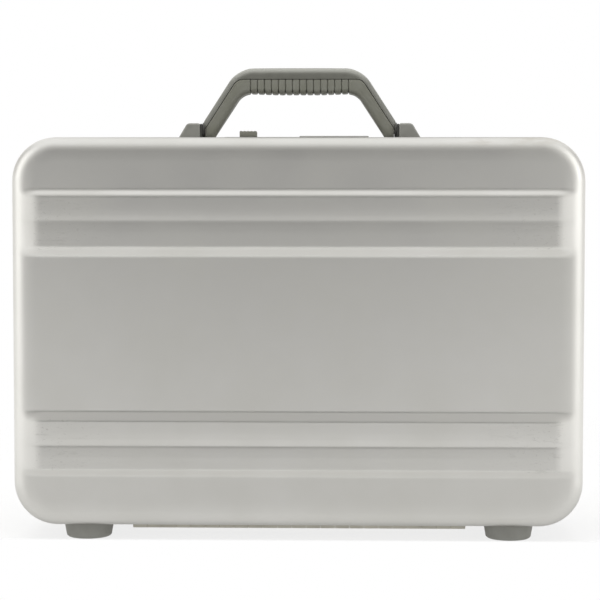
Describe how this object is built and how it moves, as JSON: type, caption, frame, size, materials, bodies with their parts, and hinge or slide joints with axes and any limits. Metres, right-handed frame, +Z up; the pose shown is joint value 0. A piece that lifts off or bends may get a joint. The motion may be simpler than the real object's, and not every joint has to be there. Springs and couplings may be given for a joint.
{
  "type": "attache case",
  "caption": "Rigid aluminium attache case: two ribbed pressed shells in hinged frames, with a swinging grip handle, a combination lock with slide button, feet and a lined inside.",
  "frame": {"origin": "on the floor under the middle of the seam between the two halves", "axes": "+X across the case, +Y from the lid's face to the base's face, +Z up to the handle"},
  "size_m": [0.4592, 0.121, 0.384],
  "materials": {
    "shell_aluminium": "pressed sheet, satin anodised",
    "frame_aluminium": "extruded, satin anodised",
    "rivet_steel": "set aluminium rivets",
    "seal_rubber": "soft black rubber",
    "foot_plastic": "moulded grey, fine texture",
    "zinc_steel": "zinc plated",
    "hinge_steel": "nickel plated strip",
    "handle_plastic": "moulded grey nylon, fine grain",
    "core_steel": "bent strip and turned pins",
    "plate_metal": "die cast, grey lacquer",
    "lock_steel": "stamped, zinc plated",
    "button_plastic": "moulded grey",
    "dial_brass": "black with white numbers",
    "stay_steel": "stamped, nickel plated",
    "lining_fabric": "dark grey woven lining",
    "pocket_leather": "black grained leatherette"
  },
  "bodies": {
    "base": {"rear_shell": "shell_aluminium", "base_frame": "frame_aluminium", "base_frame_rivets": "rivet_steel", "gasket": "seal_rubber", "rear_foot_left": "foot_plastic", "rear_foot_right": "foot_plastic", "base_foot_screws": "zinc_steel", "base_foot_nuts": "zinc_steel", "base_hinge_leaf": "hinge_steel", "hinge_pin": "hinge_steel", "handle_post_left": "handle_plastic", "handle_post_right": "handle_plastic", "post_screws": "zinc_steel", "handle_pins": "core_steel", "lock_plate": "plate_metal", "lock_housing": "lock_steel", "lock_screws": "zinc_steel", "return_spring": "lock_steel", "dial_axle": "lock_steel", "detent_leaf": "lock_steel", "base_bracket_left": "stay_steel", "base_bracket_right": "stay_steel", "base_liner": "lining_fabric"},
    "lid": {"front_shell": "shell_aluminium", "lid_frame": "frame_aluminium", "lid_frame_rivets": "rivet_steel", "front_foot_left": "foot_plastic", "front_foot_right": "foot_plastic", "lid_foot_screws": "zinc_steel", "lid_foot_nuts": "zinc_steel", "lid_hinge_leaf": "hinge_steel", "keeper_left": "lock_steel", "keeper_right": "lock_steel", "lid_bracket_left": "stay_steel", "lid_bracket_right": "stay_steel", "lid_liner": "lining_fabric", "document_pocket": "pocket_leather", "card_pocket": "pocket_leather", "pen_loops": "pocket_leather"},
    "handle": {"handle_core": "core_steel", "handle_cover": "handle_plastic", "handle_grip": "handle_plastic"},
    "latch": {"latch_bar": "lock_steel", "slide_button": "button_plastic"},
    "dial_1": {"dial_1": "dial_brass"},
    "dial_2": {"dial_2": "dial_brass"},
    "dial_3": {"dial_3": "dial_brass"},
    "stay_base_left": {"base_arm_left": "stay_steel"},
    "stay_base_right": {"base_arm_right": "stay_steel"},
    "stay_lid_left": {"lid_arm_left": "stay_steel"},
    "stay_lid_right": {"lid_arm_right": "stay_steel"}
  },
  "joints": [
    {"name": "lid_hinge", "type": "hinge", "parent": "base", "child": "lid", "pos_m": [0, 0, 0.0055], "axis": [1, 0, 0], "range_deg": [0, 100]},
    {"name": "handle_swing", "type": "hinge", "parent": "base", "child": "handle", "pos_m": [0, 0.02, 0.332], "axis": [1, 0, 0], "range_deg": [-78, 78]},
    {"name": "latch_slide", "type": "slide", "parent": "base", "child": "latch", "axis": [1, 0, 0], "range_m": [0, 0.006], "stiffness_N_per_m": 300, "springref_m": -0.004},
    {"name": "dial_1_turn", "type": "hinge", "parent": "base", "child": "dial_1", "pos_m": [0, 0.02, 0.3196], "axis": [1, 0, 0], "continuous": true},
    {"name": "dial_2_turn", "type": "hinge", "parent": "base", "child": "dial_2", "pos_m": [0, 0.02, 0.3196], "axis": [1, 0, 0], "continuous": true},
    {"name": "dial_3_turn", "type": "hinge", "parent": "base", "child": "dial_3", "pos_m": [0, 0.02, 0.3196], "axis": [1, 0, 0], "continuous": true},
    {"name": "stay_base_left_turn", "type": "hinge", "parent": "base", "child": "stay_base_left", "pos_m": [0, 0.01, 0.07], "axis": [1, 0, 0], "range_deg": [0, 100]},
    {"name": "stay_lid_left_turn", "type": "hinge", "parent": "lid", "child": "stay_lid_left", "pos_m": [0, -0.01, 0.07], "axis": [1, 0, 0], "range_deg": [-100, 0]},
    {"name": "stay_base_right_turn", "type": "hinge", "parent": "base", "child": "stay_base_right", "pos_m": [0, 0.01, 0.07], "axis": [1, 0, 0], "range_deg": [0, 100]},
    {"name": "stay_lid_right_turn", "type": "hinge", "parent": "lid", "child": "stay_lid_right", "pos_m": [0, -0.01, 0.07], "axis": [1, 0, 0], "range_deg": [-100, 0]}
  ],
  "couplings": [
    {"joint": "stay_base_left_turn", "follows": "lid_hinge", "ratio": 1},
    {"joint": "stay_lid_left_turn", "follows": "lid_hinge", "ratio": -1},
    {"joint": "stay_base_right_turn", "follows": "lid_hinge", "ratio": 1},
    {"joint": "stay_lid_right_turn", "follows": "lid_hinge", "ratio": -1}
  ]
}
